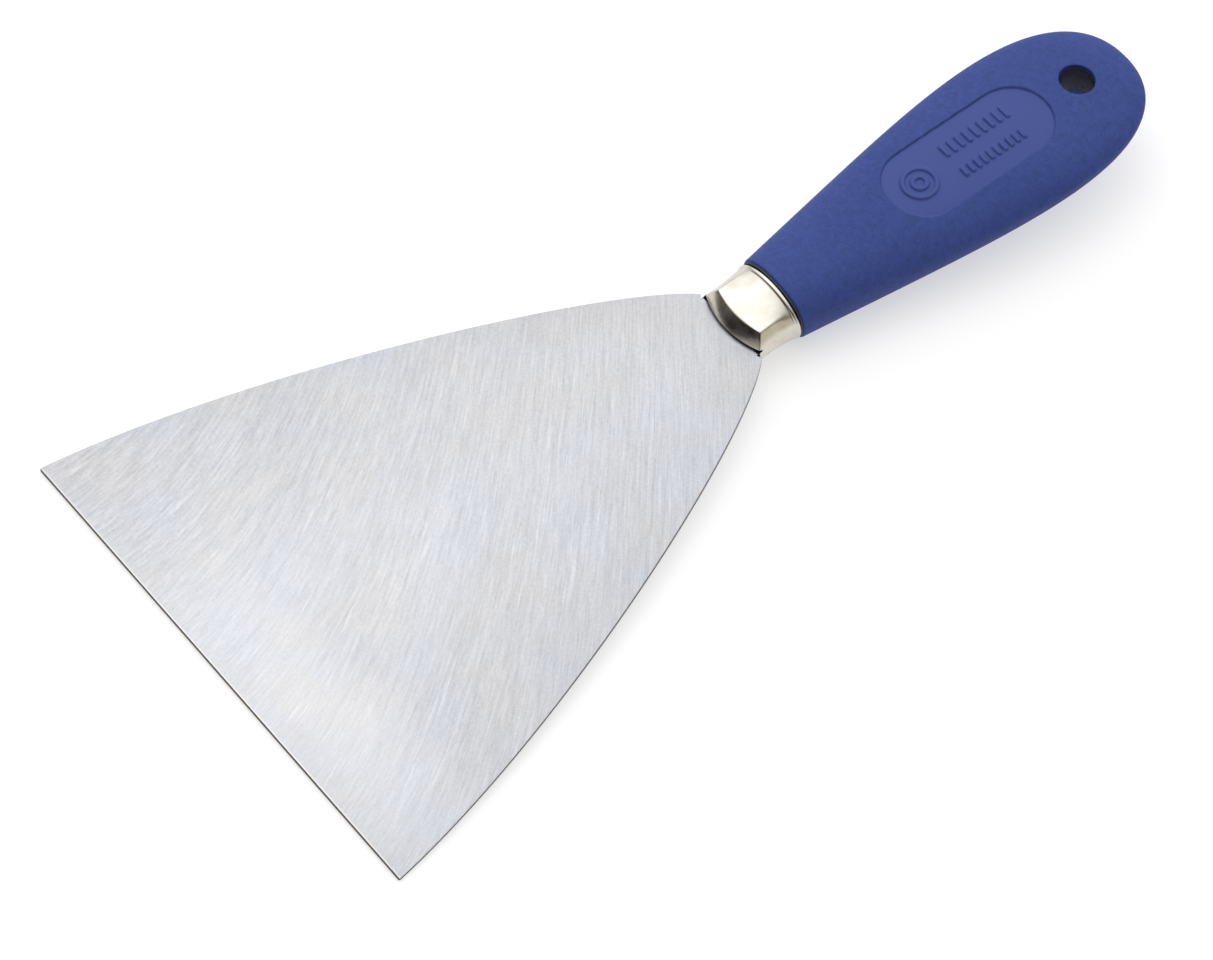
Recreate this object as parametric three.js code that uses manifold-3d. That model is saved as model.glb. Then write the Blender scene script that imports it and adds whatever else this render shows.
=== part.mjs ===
// A filling and taping knife: a fan-shaped spring-steel blade with an integral tang, a pressed
// steel ferrule, and a handle moulded in two materials, a hard core round the tang and a skin over it.
//
// Millimetres, +Z up. The knife lies as on a bench, on its working edge and the front of its handle.
// It is drawn in two turned frames:
//   tool frame    x across the blade, y from the working edge to the handle, z out of the blade
//   handle frame  the same, with its origin where the handle begins, raised by HANDLE_RISE
import * as THREE from 'three';
import { LoftGeometry } from 'three/addons/geometries/LoftGeometry.js';
import { mergeVertices } from 'three/addons/utils/BufferGeometryUtils.js';
import Module from 'manifold-3d';

// ---- Driving dimensions ----

const GAP = 0.3; // clearance drawn between pieces that touch

const BLADE_WIDTH = 100;
const EDGE_THICKNESS = 0.6; // at the working edge
const HEEL_THICKNESS = 1.2; // behind the taper grinding, and of the tang
const TAPER_LENGTH = 100; // from the working edge
const CORNER_CHAMFER = 0.5; // of the working edge's two corners
const HEEL_HALF_WIDTH = 8.4; // where the blade's sides meet the ferrule
const SIDE_PULLS = [44.5, 39, 19.6, 100]; // x, y of the two control points of each side's curve

const TANG_HALF_WIDTH = 5.6;
const TANG_END_RADIUS = 4.6;
const TANG_END = 160; // centre of the tang's round end
const TANG_HOLE_RADIUS = 2.4;
const TANG_HOLES = [136, 151]; // along the tool

const HANDLE_FRONT = 121; // from the working edge
const HANDLE_RISE = THREE.MathUtils.degToRad(2);
const HANDLE_LENGTH = 82.6;
const HANDLE_FRONT_HALF_WIDTH = 8.4;
const HANDLE_WIDENING = 13.5; // gained by the half-width along the length, before the round end
const HANDLE_FRONT_HALF_THICKNESS = 6.4;
const HANDLE_TOP_FALL = 1.6; // lost by the upper half's thickness along the length
const HANDLE_BELLY = 1.2; // gained by the lower half's
const SECTION_POWER = 2.3; // 2 is an ellipse, more is boxier
const NOSE_START = 4; // the round end's exponents
const WIDTH_BLUNTNESS = 0.435;
const THICKNESS_BLUNTNESS = 0.35;
const GRIP_WALL = 1.8;

const HANG_HOLE_RADIUS = 3.35;
const HANG_HOLE_Y = 70.8; // from the handle's front
const LABEL_Y = 45; // centre of the label panel, from the handle's front
const LABEL_LENGTH = 36;
const LABEL_WIDTH = 15;
const LABEL_DEPTH = 0.4;

const FERRULE_LENGTH = 11.4; // at the middle of its front
const FERRULE_HALF_WIDTH = 8.1;
const FERRULE_FRONT_HALF_HEIGHT = 4;
const FERRULE_REAR_HALF_HEIGHT = 5.85;
const FERRULE_FRONT_CREASE = 5.7; // half-width of the flat at the front
const FERRULE_BOW = 2.1; // how far the front's sides stand behind its middle
const FERRULE_SLOPE = 3; // how far the front leans back from the blade to its flat
const FERRULE_SLOPE_LOSS = 0.1; // the share of that lean that is gone at the sides
const FERRULE_SLOPE_POWER = 1.3; // 1 is a straight lean, more is a hollow one
const FERRULE_WALL = 0.8;
const LIP_HEIGHT = 0.3;
const LIP_WIDTH = 0.9;
const LIP_SLOPE_WIDTH = 0.27; // of the slope up to the lip's level

// ---- Fineness of the curves ----

const PLATE_STEPS = 10; // of each curve of a plate's outline
const OUTLINE_STEPS = 16;
const HOLE_SIDES = 32;
const FERRULE_SIDE_STEPS = 3;
const FERRULE_TOP_STEPS = 5;
const FERRULE_CAP_SCALES = [0.1, 0.4, 0.7]; // of the rings that close its front
const FERRULE_WALL_SHARES = [0, 0.2, 0.4, 0.6, 0.8, 1];
const HANDLE_LENGTH_STEPS = 20;
const HANDLE_QUARTER_STEPS = 8;
const NOSE_CUTOFF = 0.97; // where the last ring of the round end stands, as a share of a quarter turn

// The working edge's lower corner and the handle's lower front lip stand on one level.
const REST_TILT = Math.atan2(HANDLE_FRONT_HALF_THICKNESS - EDGE_THICKNESS / 2, HANDLE_FRONT);

// ---- Solids ----

const wasm = await Module();
wasm.setup();

function solidFrom(geometry) {
  const bare = new THREE.BufferGeometry();
  bare.setAttribute('position', geometry.getAttribute('position'));
  bare.setIndex(geometry.getIndex());
  const merged = mergeVertices(bare);
  return new wasm.Manifold(new wasm.Mesh({
    numProp: 3,
    vertProperties: merged.attributes.position.array,
    triVerts: new Uint32Array(merged.index.array),
  }));
}

function geometryFrom(solid) {
  const mesh = solid.getMesh();
  const geometry = new THREE.BufferGeometry();
  geometry.setAttribute('position', new THREE.BufferAttribute(mesh.vertProperties, 3));
  geometry.setIndex(new THREE.BufferAttribute(mesh.triVerts, 1));
  return geometry;
}

// A plate of a flat outline, from z = low to z = high.
function plate(outline, low, high) {
  const geometry = new THREE.ExtrudeGeometry(outline, {
    depth: high - low,
    bevelEnabled: false,
    curveSegments: PLATE_STEPS,
  });
  return geometry.translate(0, 0, low);
}

// A ring of points round a section, from the quarter between its side and its top. A quarter
// point holds x, y and z, and its depth below the middle where the lower half is another shape.
function ringFromQuarter(quarter) {
  const above = (point, side) => new THREE.Vector3(side * point.x, point.y, point.z);
  const below = (point, side) => new THREE.Vector3(side * point.x, point.y, -(point.depth ?? point.z));
  const outwards = quarter.slice(0, -1);
  const inwards = quarter.slice(1).reverse();
  return [
    ...outwards.map((point) => above(point, -1)),
    ...inwards.map((point) => above(point, 1)),
    ...outwards.map((point) => below(point, 1)),
    ...inwards.map((point) => below(point, -1)),
  ];
}

function loft(rings) {
  return new LoftGeometry(rings, { capStart: true, capEnd: true });
}

// ---- Ferrule ----

// How far back the ferrule's front stands at a point, counted from its foremost point.
function ferruleFrontSetback(x, z) {
  const side = (x / FERRULE_HALF_WIDTH) ** 2;
  const height = Math.abs(z) / FERRULE_FRONT_HALF_HEIGHT;
  const slope = FERRULE_SLOPE * (1 - FERRULE_SLOPE_LOSS * side);
  return FERRULE_BOW * side + slope * height ** FERRULE_SLOPE_POWER;
}

// A quarter of the ferrule's section, from a flat-topped front (share 0) to an oval rear (share 1).
function ferruleQuarter(share, inset) {
  const width = FERRULE_HALF_WIDTH - inset;
  const frontHeight = FERRULE_FRONT_HALF_HEIGHT - inset;
  const rearHeight = FERRULE_REAR_HALF_HEIGHT - inset;
  const crease = FERRULE_FRONT_CREASE - inset;
  const creaseRearHeight = rearHeight * Math.sqrt(1 - (crease / width) ** 2);
  const quarter = [];
  for (let step = 0; step < FERRULE_SIDE_STEPS; step++) {
    const rise = step / FERRULE_SIDE_STEPS;
    const frontX = width - (width - crease) * rise ** 2;
    const rearZ = creaseRearHeight * rise;
    const rearX = width * Math.sqrt(1 - (rearZ / rearHeight) ** 2);
    quarter.push({
      x: THREE.MathUtils.lerp(frontX, rearX, share),
      z: THREE.MathUtils.lerp(frontHeight * rise, rearZ, share),
    });
  }
  for (let step = 0; step <= FERRULE_TOP_STEPS; step++) {
    const x = crease * (1 - step / FERRULE_TOP_STEPS);
    const rearZ = rearHeight * Math.sqrt(1 - (x / width) ** 2);
    quarter.push({ x, z: THREE.MathUtils.lerp(frontHeight, rearZ, share) });
  }
  return quarter;
}

// The ferrule's body, or its hollow when it is inset, in the handle frame. It ends at y = rear.
function ferruleBody(inset, rear, withLip) {
  const frontY = (point) => inset - FERRULE_LENGTH + ferruleFrontSetback(point.x, point.z);
  const capRings = FERRULE_CAP_SCALES.map((scale) => ferruleQuarter(0, inset).map((point) => {
    const scaled = { x: point.x * scale, z: point.z * scale };
    return { ...scaled, y: frontY(scaled) };
  }));
  const wallRings = FERRULE_WALL_SHARES.map((share) => {
    const front = ferruleQuarter(0, inset);
    const wallEnd = withLip ? rear - LIP_WIDTH : rear;
    return ferruleQuarter(share, inset).map((point, index) => ({
      ...point,
      y: THREE.MathUtils.lerp(frontY(front[index]), wallEnd, share),
    }));
  });
  const lip = ferruleQuarter(1, inset - LIP_HEIGHT);
  const lipStart = rear - LIP_WIDTH + LIP_SLOPE_WIDTH;
  const lipRings = [lipStart, rear].map((y) => lip.map((point) => ({ ...point, y })));
  const quarters = withLip ? [...capRings, ...wallRings, ...lipRings] : [...capRings, ...wallRings];
  return loft(quarters.map(ringFromQuarter));
}

// ---- Handle ----

// The handle's body, or the same shape inset, in the handle frame, from y = start to its round end.
function handleBody(inset, start) {
  const length = HANDLE_LENGTH - inset;
  const rings = [];
  for (let step = 0; step <= HANDLE_LENGTH_STEPS; step++) {
    const turn = (step / HANDLE_LENGTH_STEPS) * NOSE_CUTOFF * (Math.PI / 2);
    const share = THREE.MathUtils.lerp(start / length, 1, Math.sin(turn));
    const nose = 1 - share ** NOSE_START;
    const front = HANDLE_FRONT_HALF_THICKNESS - inset;
    const halfWidth = (HANDLE_FRONT_HALF_WIDTH + HANDLE_WIDENING * share - inset) * nose ** WIDTH_BLUNTNESS;
    const height = (front - HANDLE_TOP_FALL * share) * nose ** THICKNESS_BLUNTNESS;
    const depth = (front + HANDLE_BELLY * share) * nose ** THICKNESS_BLUNTNESS;
    const quarter = [];
    for (let corner = 0; corner <= HANDLE_QUARTER_STEPS; corner++) {
      const angle = (corner / HANDLE_QUARTER_STEPS) * (Math.PI / 2);
      const outwards = Math.max(Math.cos(angle), 0) ** (2 / SECTION_POWER);
      const upwards = Math.sin(angle) ** (2 / SECTION_POWER);
      quarter.push({
        x: halfWidth * outwards,
        y: share * length,
        z: height * upwards,
        depth: depth * upwards,
      });
    }
    rings.push(ringFromQuarter(quarter));
  }
  return loft(rings);
}

function hangHoleCutter() {
  const through = 4 * HANDLE_FRONT_HALF_THICKNESS;
  const cylinder = new THREE.CylinderGeometry(HANG_HOLE_RADIUS, HANG_HOLE_RADIUS, through, HOLE_SIDES);
  return cylinder.rotateX(Math.PI / 2).translate(0, HANG_HOLE_Y, 0);
}

// The label panel's round-ended outline, extruded out through the handle's upper face.
function labelCutter() {
  const radius = LABEL_WIDTH / 2;
  const straight = LABEL_LENGTH / 2 - radius;
  const outline = new THREE.Shape();
  outline.absarc(0, LABEL_Y + straight, radius, 0, Math.PI);
  outline.absarc(0, LABEL_Y - straight, radius, Math.PI, 2 * Math.PI);
  return plate(outline, 0, 2 * HANDLE_FRONT_HALF_THICKNESS);
}

// ---- Blade and tang, in the tool frame ----

function shoulderY(x) {
  return HANDLE_FRONT - FERRULE_LENGTH + FERRULE_BOW * (x / FERRULE_HALF_WIDTH) ** 2 - GAP;
}

// Half of the blade's outline, from the middle of the working edge to the tang's tip.
function bladeHalfOutline() {
  const half = new THREE.Path();
  const edge = BLADE_WIDTH / 2;
  half.moveTo(0, 0);
  half.lineTo(edge - CORNER_CHAMFER, 0);
  half.lineTo(edge, CORNER_CHAMFER);
  half.bezierCurveTo(...SIDE_PULLS, HEEL_HALF_WIDTH, shoulderY(HEEL_HALF_WIDTH));
  const middle = (HEEL_HALF_WIDTH + TANG_HALF_WIDTH) / 2;
  const dip = FERRULE_BOW * ((middle - TANG_HALF_WIDTH) / FERRULE_HALF_WIDTH) ** 2;
  half.quadraticCurveTo(middle, shoulderY(middle) - dip, TANG_HALF_WIDTH, shoulderY(TANG_HALF_WIDTH));
  half.lineTo(TANG_END_RADIUS, TANG_END);
  half.absarc(0, TANG_END, TANG_END_RADIUS, 0, Math.PI / 2);
  return half.getPoints(OUTLINE_STEPS);
}

// The tang's own outline, grown by a clearance, from in front of the ferrule to its tip.
function tangHalfOutline(clearance) {
  const half = new THREE.Path();
  half.moveTo(0, HANDLE_FRONT - 2 * FERRULE_LENGTH);
  half.lineTo(TANG_HALF_WIDTH + clearance, HANDLE_FRONT - 2 * FERRULE_LENGTH);
  half.lineTo(TANG_HALF_WIDTH + clearance, HANDLE_FRONT - FERRULE_LENGTH);
  half.lineTo(TANG_END_RADIUS + clearance, TANG_END);
  half.absarc(0, TANG_END, TANG_END_RADIUS + clearance, 0, Math.PI / 2);
  return half.getPoints(OUTLINE_STEPS);
}

// A shape from its half outline, with the tang's anchoring holes.
function mirroredShape(half, holeRadius) {
  const mirrored = half.slice(1, -1).reverse().map((point) => new THREE.Vector2(-point.x, point.y));
  const outline = new THREE.Shape([...half, ...mirrored]);
  outline.holes = TANG_HOLES.map((y) => {
    const hole = new THREE.Path();
    hole.absarc(0, y, holeRadius, 0, 2 * Math.PI);
    return hole;
  });
  return outline;
}

// The blade's thickness seen from the side: ground to a taper, then parallel.
function groundProfile() {
  const edge = EDGE_THICKNESS / 2;
  const heel = HEEL_THICKNESS / 2;
  const end = TANG_END + 2 * TANG_END_RADIUS;
  const profile = new THREE.Shape();
  profile.moveTo(0, -edge);
  profile.lineTo(TAPER_LENGTH, -heel);
  profile.lineTo(end, -heel);
  profile.lineTo(end, heel);
  profile.lineTo(TAPER_LENGTH, heel);
  profile.lineTo(0, edge);
  const standUp = new THREE.Matrix4().makeBasis(
    new THREE.Vector3(0, 1, 0),
    new THREE.Vector3(0, 0, 1),
    new THREE.Vector3(1, 0, 0),
  );
  return plate(profile, -BLADE_WIDTH, BLADE_WIDTH).applyMatrix4(standUp);
}

function bladeSolid() {
  const outline = mirroredShape(bladeHalfOutline(), TANG_HOLE_RADIUS);
  const blank = solidFrom(plate(outline, -HEEL_THICKNESS, HEEL_THICKNESS));
  return blank.intersect(solidFrom(groundProfile()));
}

// The room that the tang takes in the ferrule and the core, in the handle frame. The core's
// posts stay where the tang's holes are.
function tangRoom() {
  const outline = mirroredShape(tangHalfOutline(GAP), TANG_HOLE_RADIUS - GAP);
  const halfHeight = HEEL_THICKNESS / 2 + GAP;
  const toolToHandle = new THREE.Matrix4().makeRotationX(-HANDLE_RISE);
  toolToHandle.multiply(new THREE.Matrix4().makeTranslation(0, -HANDLE_FRONT, 0));
  return solidFrom(plate(outline, -halfHeight, halfHeight).applyMatrix4(toolToHandle));
}

function ferruleSolid() {
  const shell = solidFrom(ferruleBody(0, -GAP, true));
  const hollow = solidFrom(ferruleBody(FERRULE_WALL, FERRULE_WALL, false));
  return shell.subtract(hollow).subtract(tangRoom());
}

function coreSolid() {
  const spigot = solidFrom(ferruleBody(FERRULE_WALL + GAP, -GAP, false));
  const body = solidFrom(handleBody(GRIP_WALL, -2 * GAP));
  return spigot.add(body).subtract(tangRoom()).subtract(solidFrom(hangHoleCutter()));
}

function gripSolid() {
  const outside = solidFrom(handleBody(0, 0));
  const hollow = solidFrom(handleBody(GRIP_WALL - GAP, -2 * GAP));
  const panel = solidFrom(labelCutter()).subtract(solidFrom(handleBody(LABEL_DEPTH, 0)));
  return outside.subtract(hollow).subtract(solidFrom(hangHoleCutter())).subtract(panel);
}

// ---- Assembly ----

function piece(name, solid, look) {
  const mesh = new THREE.Mesh(geometryFrom(solid), new THREE.MeshStandardMaterial(look));
  mesh.name = name;
  return mesh;
}

const handle = new THREE.Group();
handle.position.y = HANDLE_FRONT;
handle.rotation.x = HANDLE_RISE;
handle.add(
  piece('ferrule', ferruleSolid(), { color: 0xd8d2c2, roughness: 0.22, metalness: 1 }),
  piece('handle_core', coreSolid(), { color: 0x1b1d22, roughness: 0.6, metalness: 0 }),
  piece('handle_grip', gripSolid(), { color: 0x2e3f8a, roughness: 0.55, metalness: 0 }),
);

const tool = new THREE.Group();
tool.add(piece('blade', bladeSolid(), { color: 0xc9ccd2, roughness: 0.38, metalness: 1 }), handle);
tool.rotation.x = REST_TILT;

// The frame's origin is under the middle of the knife, at the level that it lies on.
const box = new THREE.Box3().setFromObject(tool, true);
tool.position.set(0, -(box.min.y + box.max.y) / 2, -box.min.z);

const knife = new THREE.Group();
knife.add(tool);

export default knife;
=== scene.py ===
"""The looks of the filling and taping knife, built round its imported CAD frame. Metres, +Z up.

The pieces are drawn in millimetres in the CAD model's two turned frames and then placed:
    tool frame    x across the blade, y from the working edge to the handle, z out of the blade
    handle frame  the same, with its origin where the handle begins, raised by HANDLE_RISE
"""
import math

import bmesh
import bpy
import numpy as np
from mathutils import Matrix, Vector


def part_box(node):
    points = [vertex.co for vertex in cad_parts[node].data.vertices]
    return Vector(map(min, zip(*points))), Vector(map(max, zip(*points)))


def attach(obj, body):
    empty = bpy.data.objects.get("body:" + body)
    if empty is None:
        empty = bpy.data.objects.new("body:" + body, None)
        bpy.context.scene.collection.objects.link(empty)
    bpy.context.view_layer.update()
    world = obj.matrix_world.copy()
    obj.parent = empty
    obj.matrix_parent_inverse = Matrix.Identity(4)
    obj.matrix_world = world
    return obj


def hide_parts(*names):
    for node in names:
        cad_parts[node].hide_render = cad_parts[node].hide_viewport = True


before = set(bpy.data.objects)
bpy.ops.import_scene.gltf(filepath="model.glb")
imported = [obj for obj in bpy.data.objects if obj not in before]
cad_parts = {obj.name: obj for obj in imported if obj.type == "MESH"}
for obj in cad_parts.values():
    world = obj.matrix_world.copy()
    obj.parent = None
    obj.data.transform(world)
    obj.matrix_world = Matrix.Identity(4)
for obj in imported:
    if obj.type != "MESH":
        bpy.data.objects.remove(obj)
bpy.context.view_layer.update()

MM = 0.001

# ---- Dimensions of the CAD model, in millimetres ----

GAP = 0.3  # between pieces that touch
BLADE_WIDTH = 100.0
EDGE_THICKNESS = 0.6  # at the working edge
HEEL_THICKNESS = 1.2  # behind the taper grinding, and of the tang
TAPER_LENGTH = 100.0  # from the working edge
HEEL_HALF_WIDTH = 8.4  # where the blade's sides meet the ferrule
BLADE_SIDE_PULLS = ((44.5, 39.0), (19.6, 100.0))  # control points of each side's curve
TANG_HALF_WIDTH = 5.6
TANG_END_RADIUS = 4.6
TANG_END = 160.0  # centre of the tang's round end
TANG_HOLE_RADIUS = 2.4
TANG_HOLES = (136.0, 151.0)  # along the tool

HANDLE_FRONT = 121.0  # from the working edge
HANDLE_RISE = math.radians(2.0)
HANDLE_LENGTH = 82.6
HANDLE_FRONT_HALF_WIDTH = 8.4
HANDLE_WIDENING = 13.5  # gained by the half-width along the length, less what the round end takes
HANDLE_FRONT_HALF_THICKNESS = 6.4
HANDLE_TOP_FALL = 1.6  # lost by the upper half's thickness along the length
HANDLE_BELLY = 1.2  # gained by the lower half's
SECTION_POWER = 2.3  # 2 is an ellipse, more is boxier
NOSE_START = 4.0  # the round end falls as (1 - share ** NOSE_START) ** its bluntness
WIDTH_BLUNTNESS = 0.435
THICKNESS_BLUNTNESS = 0.35
NOSE_CUTOFF = 0.97  # where the last ring of the round end stands, as a share of a quarter turn
GRIP_WALL = 1.8

HANG_HOLE_RADIUS = 3.35
HANG_HOLE_Y = 70.8  # from the handle's front
LABEL_Y = 45.0  # centre of the label panel, from the handle's front
LABEL_LENGTH = 36.0
LABEL_WIDTH = 15.0
LABEL_DEPTH = 0.4

FERRULE_LENGTH = 11.4  # at the middle of its front
FERRULE_HALF_WIDTH = 8.1
FERRULE_FRONT_HALF_HEIGHT = 4.0
FERRULE_REAR_HALF_HEIGHT = 5.85
FERRULE_FRONT_CREASE = 5.7  # half-width of the flat at the front
FERRULE_BOW = 2.1  # how far the front's sides stand behind its middle
FERRULE_SLOPE = 3.0  # how far the front leans back from the blade to its flat
FERRULE_SLOPE_LOSS = 0.1  # the share of that lean that is gone at the sides
FERRULE_SLOPE_POWER = 1.3  # 1 is a straight lean, 2 a round one
FERRULE_WALL = 0.8
LIP_HEIGHT = 0.3
LIP_WIDTH = 0.9

# ---- Finer sizes that only the looks have, in millimetres ----

SEAM = 0.06  # between pieces that are moulded or pressed together
SKIN_INSET = 0.035  # keeps the fine surface inside the CAD model's box
CORNER_RADIUS = 0.3  # of the working edge's two corners
SLOT_CLEARANCE = 0.12  # between the tang and the ferrule
SIDE_FLATNESS = 0.65  # of the ferrule's sides, from its crease to its middle; 1 is quite flat
FLAT_END = 0.25  # share of the ferrule's length where its sides begin to turn oval for the lip
MOUTH_HALF_WIDTH = 7.6  # of the ferrule's mouth, where the blade comes out
MOUTH_HALF_HEIGHT = 1.15
MOUTH_DEPTH = 3.0
HEEL_DEPTH = 2.0  # how far the blade's heel goes into the mouth before it narrows to the tang
BURR = 0.05  # bevel along the blade's edges
GRIP_FRONT = 0.42  # where the grip starts: the core's collar shows in front of it, a near-black ring of painted shade for the gap there
COLLAR_INSET = 0.3  # of the core's collar from the grip's outline
FRONT_ROUNDING = 0.4  # of the grip's front edge
HOLE_ROUNDING = 0.15  # of the hang hole's upper rim
HOLE_DRAFT = math.radians(2.0)  # the moulded hole narrows downwards
LABEL_EDGE = 0.35  # width of the label panel's sloping wall
PANEL_MARGIN = 0.1  # between the panel's outline and its smoother floor
UPPER_FACE = 0.2  # above the handle's middle, where the relief of its upper face begins
MARK_HEIGHT = 0.36  # of the raised marks on the label panel
MARK_HALF_WIDTH = 0.44  # of their strokes
MARK_SLOPE = 0.3  # width of a stroke's sloping sides
RING_Y = -11.3  # from the panel's middle
RING_RADIUS = 3.1
RING_RATIO = 2.4  # of the outer ring's radius to the inner one's
BAR_ROWS = (  # middle across, half a bar's height, first bar, pitch, how many
    (-2.5, 1.0, -3.4, 1.75, 9),
    (3.0, 0.7, -3.4, 1.5, 10),
)

# ---- Fineness of the meshes: numbers of points and rings, and their spacing in millimetres ----

CIRCLE_SIDES = 96
POST_SIDES = 48
HOLE_SIDES = 128
CUTTER_REACH = 2.0  # of the tang holes' cutters, above and below the tang's middle
CORNER_POINTS = 8  # round a corner of the working edge
BLADE_SIDE_POINTS = 120
SHOULDER_POINTS = 6
TANG_END_POINTS = 24
RIM_ANGLE = math.radians(60)  # a blade's edge between faces that meet at more than this is beveled
BURR_SEGMENTS = 2
FERRULE_SIDE_POINTS = 26  # of a quarter of its section
FERRULE_TOP_POINTS = 40
FERRULE_FRONT_RINGS = 70
FERRULE_WALL_RINGS = 60
LIP_RINGS = 14
HOLLOW_FRONT_RINGS = 14
HOLLOW_WALL_RINGS = 16
INNERMOST_RING = 0.03  # of the ferrule's front, as a share of its outline
HOLLOW_INNERMOST_RING = 0.05
CREASE_SOFTENING = 3  # passes of averaging that round the ferrule's creases
TOP_SHARE = 0.66  # where the evenly spaced top of a handle section begins, as a share of its half-width
GRIP_UPPER_POINTS = (22, 66)  # of a quarter section's side and top, fine enough for the panel's marks
GRIP_LOWER_POINTS = (16, 16)
CORE_POINTS = (12, 14)
ROUNDING_RINGS = 8
FINE_PITCH = 0.17  # of the grip's rings over the label panel and the hang hole
FINE_MARGIN = 1.0  # in front of them and behind them
GRIP_FRONT_RINGS = 40  # from the rounding to the label panel
GRIP_BRIDGE_RINGS = 8  # from the label panel to the hang hole
GRIP_NOSE_RINGS = 60
GRIP_INSIDE_RINGS = 30
CORE_RINGS = 70

# The working edge's lower corner and the handle's lower front lip stand on one level.
REST_TILT = math.atan2(HANDLE_FRONT_HALF_THICKNESS - EDGE_THICKNESS / 2, HANDLE_FRONT)


# ---- Frames ----

def tool_frame():
    """The tool frame, placed by the CAD blade, whose box starts at the working edge's lower corner."""
    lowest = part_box("blade")[0]
    half_edge = EDGE_THICKNESS / 2 * MM
    up = half_edge * math.cos(REST_TILT)
    back = half_edge * math.sin(REST_TILT)
    place = Vector((0.0, lowest.y + back, lowest.z + up))
    return Matrix.Translation(place) @ Matrix.Rotation(REST_TILT, 4, "X") @ Matrix.Scale(MM, 4)


TOOL = tool_frame()
HANDLE = TOOL @ Matrix.Translation((0.0, HANDLE_FRONT, 0.0)) @ Matrix.Rotation(HANDLE_RISE, 4, "X")


# ---- Mesh helpers ----

def mesh_object(name, vertices, faces):
    mesh = bpy.data.meshes.new(name)
    mesh.from_pydata([tuple(v) for v in vertices], [], [tuple(f) for f in faces])
    mesh.validate()
    obj = bpy.data.objects.new(name, mesh)
    bpy.context.scene.collection.objects.link(obj)
    return obj


def outward(obj):
    work = bmesh.new()
    work.from_mesh(obj.data)
    bmesh.ops.recalc_face_normals(work, faces=work.faces)
    work.to_mesh(obj.data)
    work.free()
    return obj


def closed_grid(name, rows):
    """A closed body from an array of rings (rows, points, 3), with a fan to the middle of each end ring."""
    count, around = rows.shape[:2]
    vertices = np.concatenate([rows.reshape(-1, 3), rows[:1].mean(1), rows[-1:].mean(1)])
    first, last = count * around, count * around + 1
    faces = []
    sides = [(j, (j + 1) % around) for j in range(around)]
    for i in range(count - 1):
        low, high = i * around, (i + 1) * around
        faces += [(low + j, low + k, high + k, high + j) for j, k in sides]
    end = (count - 1) * around
    faces += [(first, k, j) for j, k in sides]
    faces += [(last, end + j, end + k) for j, k in sides]
    return outward(mesh_object(name, vertices, faces))


def extruded(name, outline, low, high):
    """A plate of a closed outline (points, 2), from z = low to z = high."""
    count = len(outline)
    vertices = [(x, y, low) for x, y in outline] + [(x, y, high) for x, y in outline]
    faces = [tuple(range(count))[::-1], tuple(range(count, 2 * count))]
    faces += [(j, (j + 1) % count, count + (j + 1) % count, count + j) for j in range(count)]
    return outward(mesh_object(name, vertices, faces))


def circle(radius, y, sides):
    """The points of a circle whose middle is on the axis, at y."""
    turns = np.arange(sides) * 2 * math.pi / sides
    return np.stack([radius * np.cos(turns), y + radius * np.sin(turns)], 1)


def apply_modifiers(obj):
    """Makes an object's modifiers part of its mesh."""
    depsgraph = bpy.context.evaluated_depsgraph_get()
    made = bpy.data.meshes.new_from_object(obj.evaluated_get(depsgraph))
    obj.modifiers.clear()
    obj.data = made


def combine(obj, other, operation):
    """Joins another body to the object or cuts it out of it, and uses the other body up."""
    modifier = obj.modifiers.new(operation, "BOOLEAN")
    modifier.operation = operation
    modifier.solver = "EXACT"
    modifier.object = other
    apply_modifiers(obj)
    bpy.data.objects.remove(other)


def placed(obj, matrix, smooth_angle):
    """Puts a drawn piece in the row frame and shades it smooth up to an angle."""
    obj.data.transform(matrix)
    obj.data.polygons.foreach_set("use_smooth", [True] * len(obj.data.polygons))
    obj.data.set_sharp_from_angle(angle=math.radians(smooth_angle))
    return obj


def smoothstep(value):
    """Rises smoothly from 0 to 1 as the value does."""
    value = np.clip(value, 0.0, 1.0)
    return value * value * (3 - 2 * value)


def softened(rows, passes):
    """Rings with each point averaged with its neighbours, along and round, which rounds their creases."""
    for _ in range(passes):
        padded = np.concatenate([rows[:1], rows, rows[-1:]])
        rows = (padded[:-2] + 2 * rows + padded[2:]) / 4
    for _ in range(passes):
        rows = (np.roll(rows, 1, 1) + 2 * rows + np.roll(rows, -1, 1)) / 4
    return rows


# ---- Blade ----

def bezier(start, pull_a, pull_b, end, count):
    """Points along the cubic curve between two points with two control points."""
    start, pull_a, pull_b, end = (np.array(p, float) for p in (start, pull_a, pull_b, end))
    t = np.linspace(0, 1, count)[:, None]
    s = 1 - t
    return s ** 3 * start + 3 * s ** 2 * t * pull_a + 3 * s * t ** 2 * pull_b + t ** 3 * end


def shoulder_y(x):
    """Where the blade ends at a distance from its axis, just in front of the ferrule's bowed front."""
    bow = FERRULE_BOW * (x / FERRULE_HALF_WIDTH) ** 2
    return HANDLE_FRONT - FERRULE_LENGTH + bow - SLOT_CLEARANCE


def tang_tip(clearance):
    """Half of the tang's round tip, grown by a clearance."""
    turns = np.linspace(0, math.pi / 2, TANG_END_POINTS)
    radius = TANG_END_RADIUS + clearance
    return np.stack([radius * np.cos(turns), TANG_END + radius * np.sin(turns)], 1)


def mirrored_outline(half):
    """A closed outline from its half at x >= 0, whose ends lie on the axis."""
    half = np.asarray(half, float)
    return np.concatenate([half, half[1:-1][::-1] * (-1, 1)])


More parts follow.
